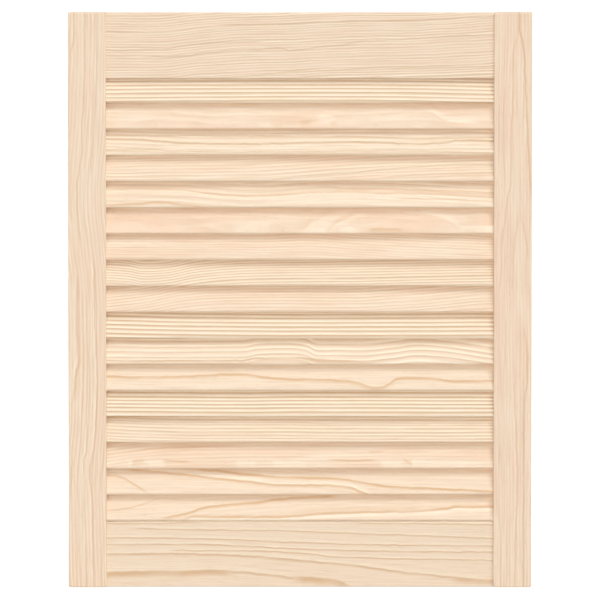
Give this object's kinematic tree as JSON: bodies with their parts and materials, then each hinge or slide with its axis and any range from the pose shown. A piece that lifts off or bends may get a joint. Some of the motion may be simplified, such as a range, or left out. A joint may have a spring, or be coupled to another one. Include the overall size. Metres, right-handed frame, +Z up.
{
  "type": "louvred cabinet door",
  "caption": "Louvred cabinet door in bare pine: stiles and dowelled rails hold fixed tilted slats that let air through and keep the inside out of sight.",
  "frame": {"origin": "middle of the bottom edge, half way through the door's thickness", "axes": "+X to the right seen from the front, +Y from the front to the back, +Z up"},
  "size_m": [0.494, 0.021, 0.615],
  "materials": {
    "pine_frame": "sanded, unfinished",
    "pine_slats": "sanded, unfinished",
    "beech_dowels": "unfinished"
  },
  "bodies": {
    "root": {"stile_left": "pine_frame", "stile_right": "pine_frame", "rail_top": "pine_frame", "rail_bottom": "pine_frame", "slat_01": "pine_slats", "slat_02": "pine_slats", "slat_03": "pine_slats", "slat_04": "pine_slats", "slat_05": "pine_slats", "slat_06": "pine_slats", "slat_07": "pine_slats", "slat_08": "pine_slats", "slat_09": "pine_slats", "slat_10": "pine_slats", "slat_11": "pine_slats", "slat_12": "pine_slats", "slat_13": "pine_slats", "slat_14": "pine_slats", "slat_15": "pine_slats", "slat_16": "pine_slats", "slat_17": "pine_slats", "dowel_top_left_upper": "beech_dowels", "dowel_top_left_lower": "beech_dowels", "dowel_bottom_left_upper": "beech_dowels", "dowel_bottom_left_lower": "beech_dowels", "dowel_top_right_upper": "beech_dowels", "dowel_top_right_lower": "beech_dowels", "dowel_bottom_right_upper": "beech_dowels", "dowel_bottom_right_lower": "beech_dowels"}
  },
  "joints": []
}
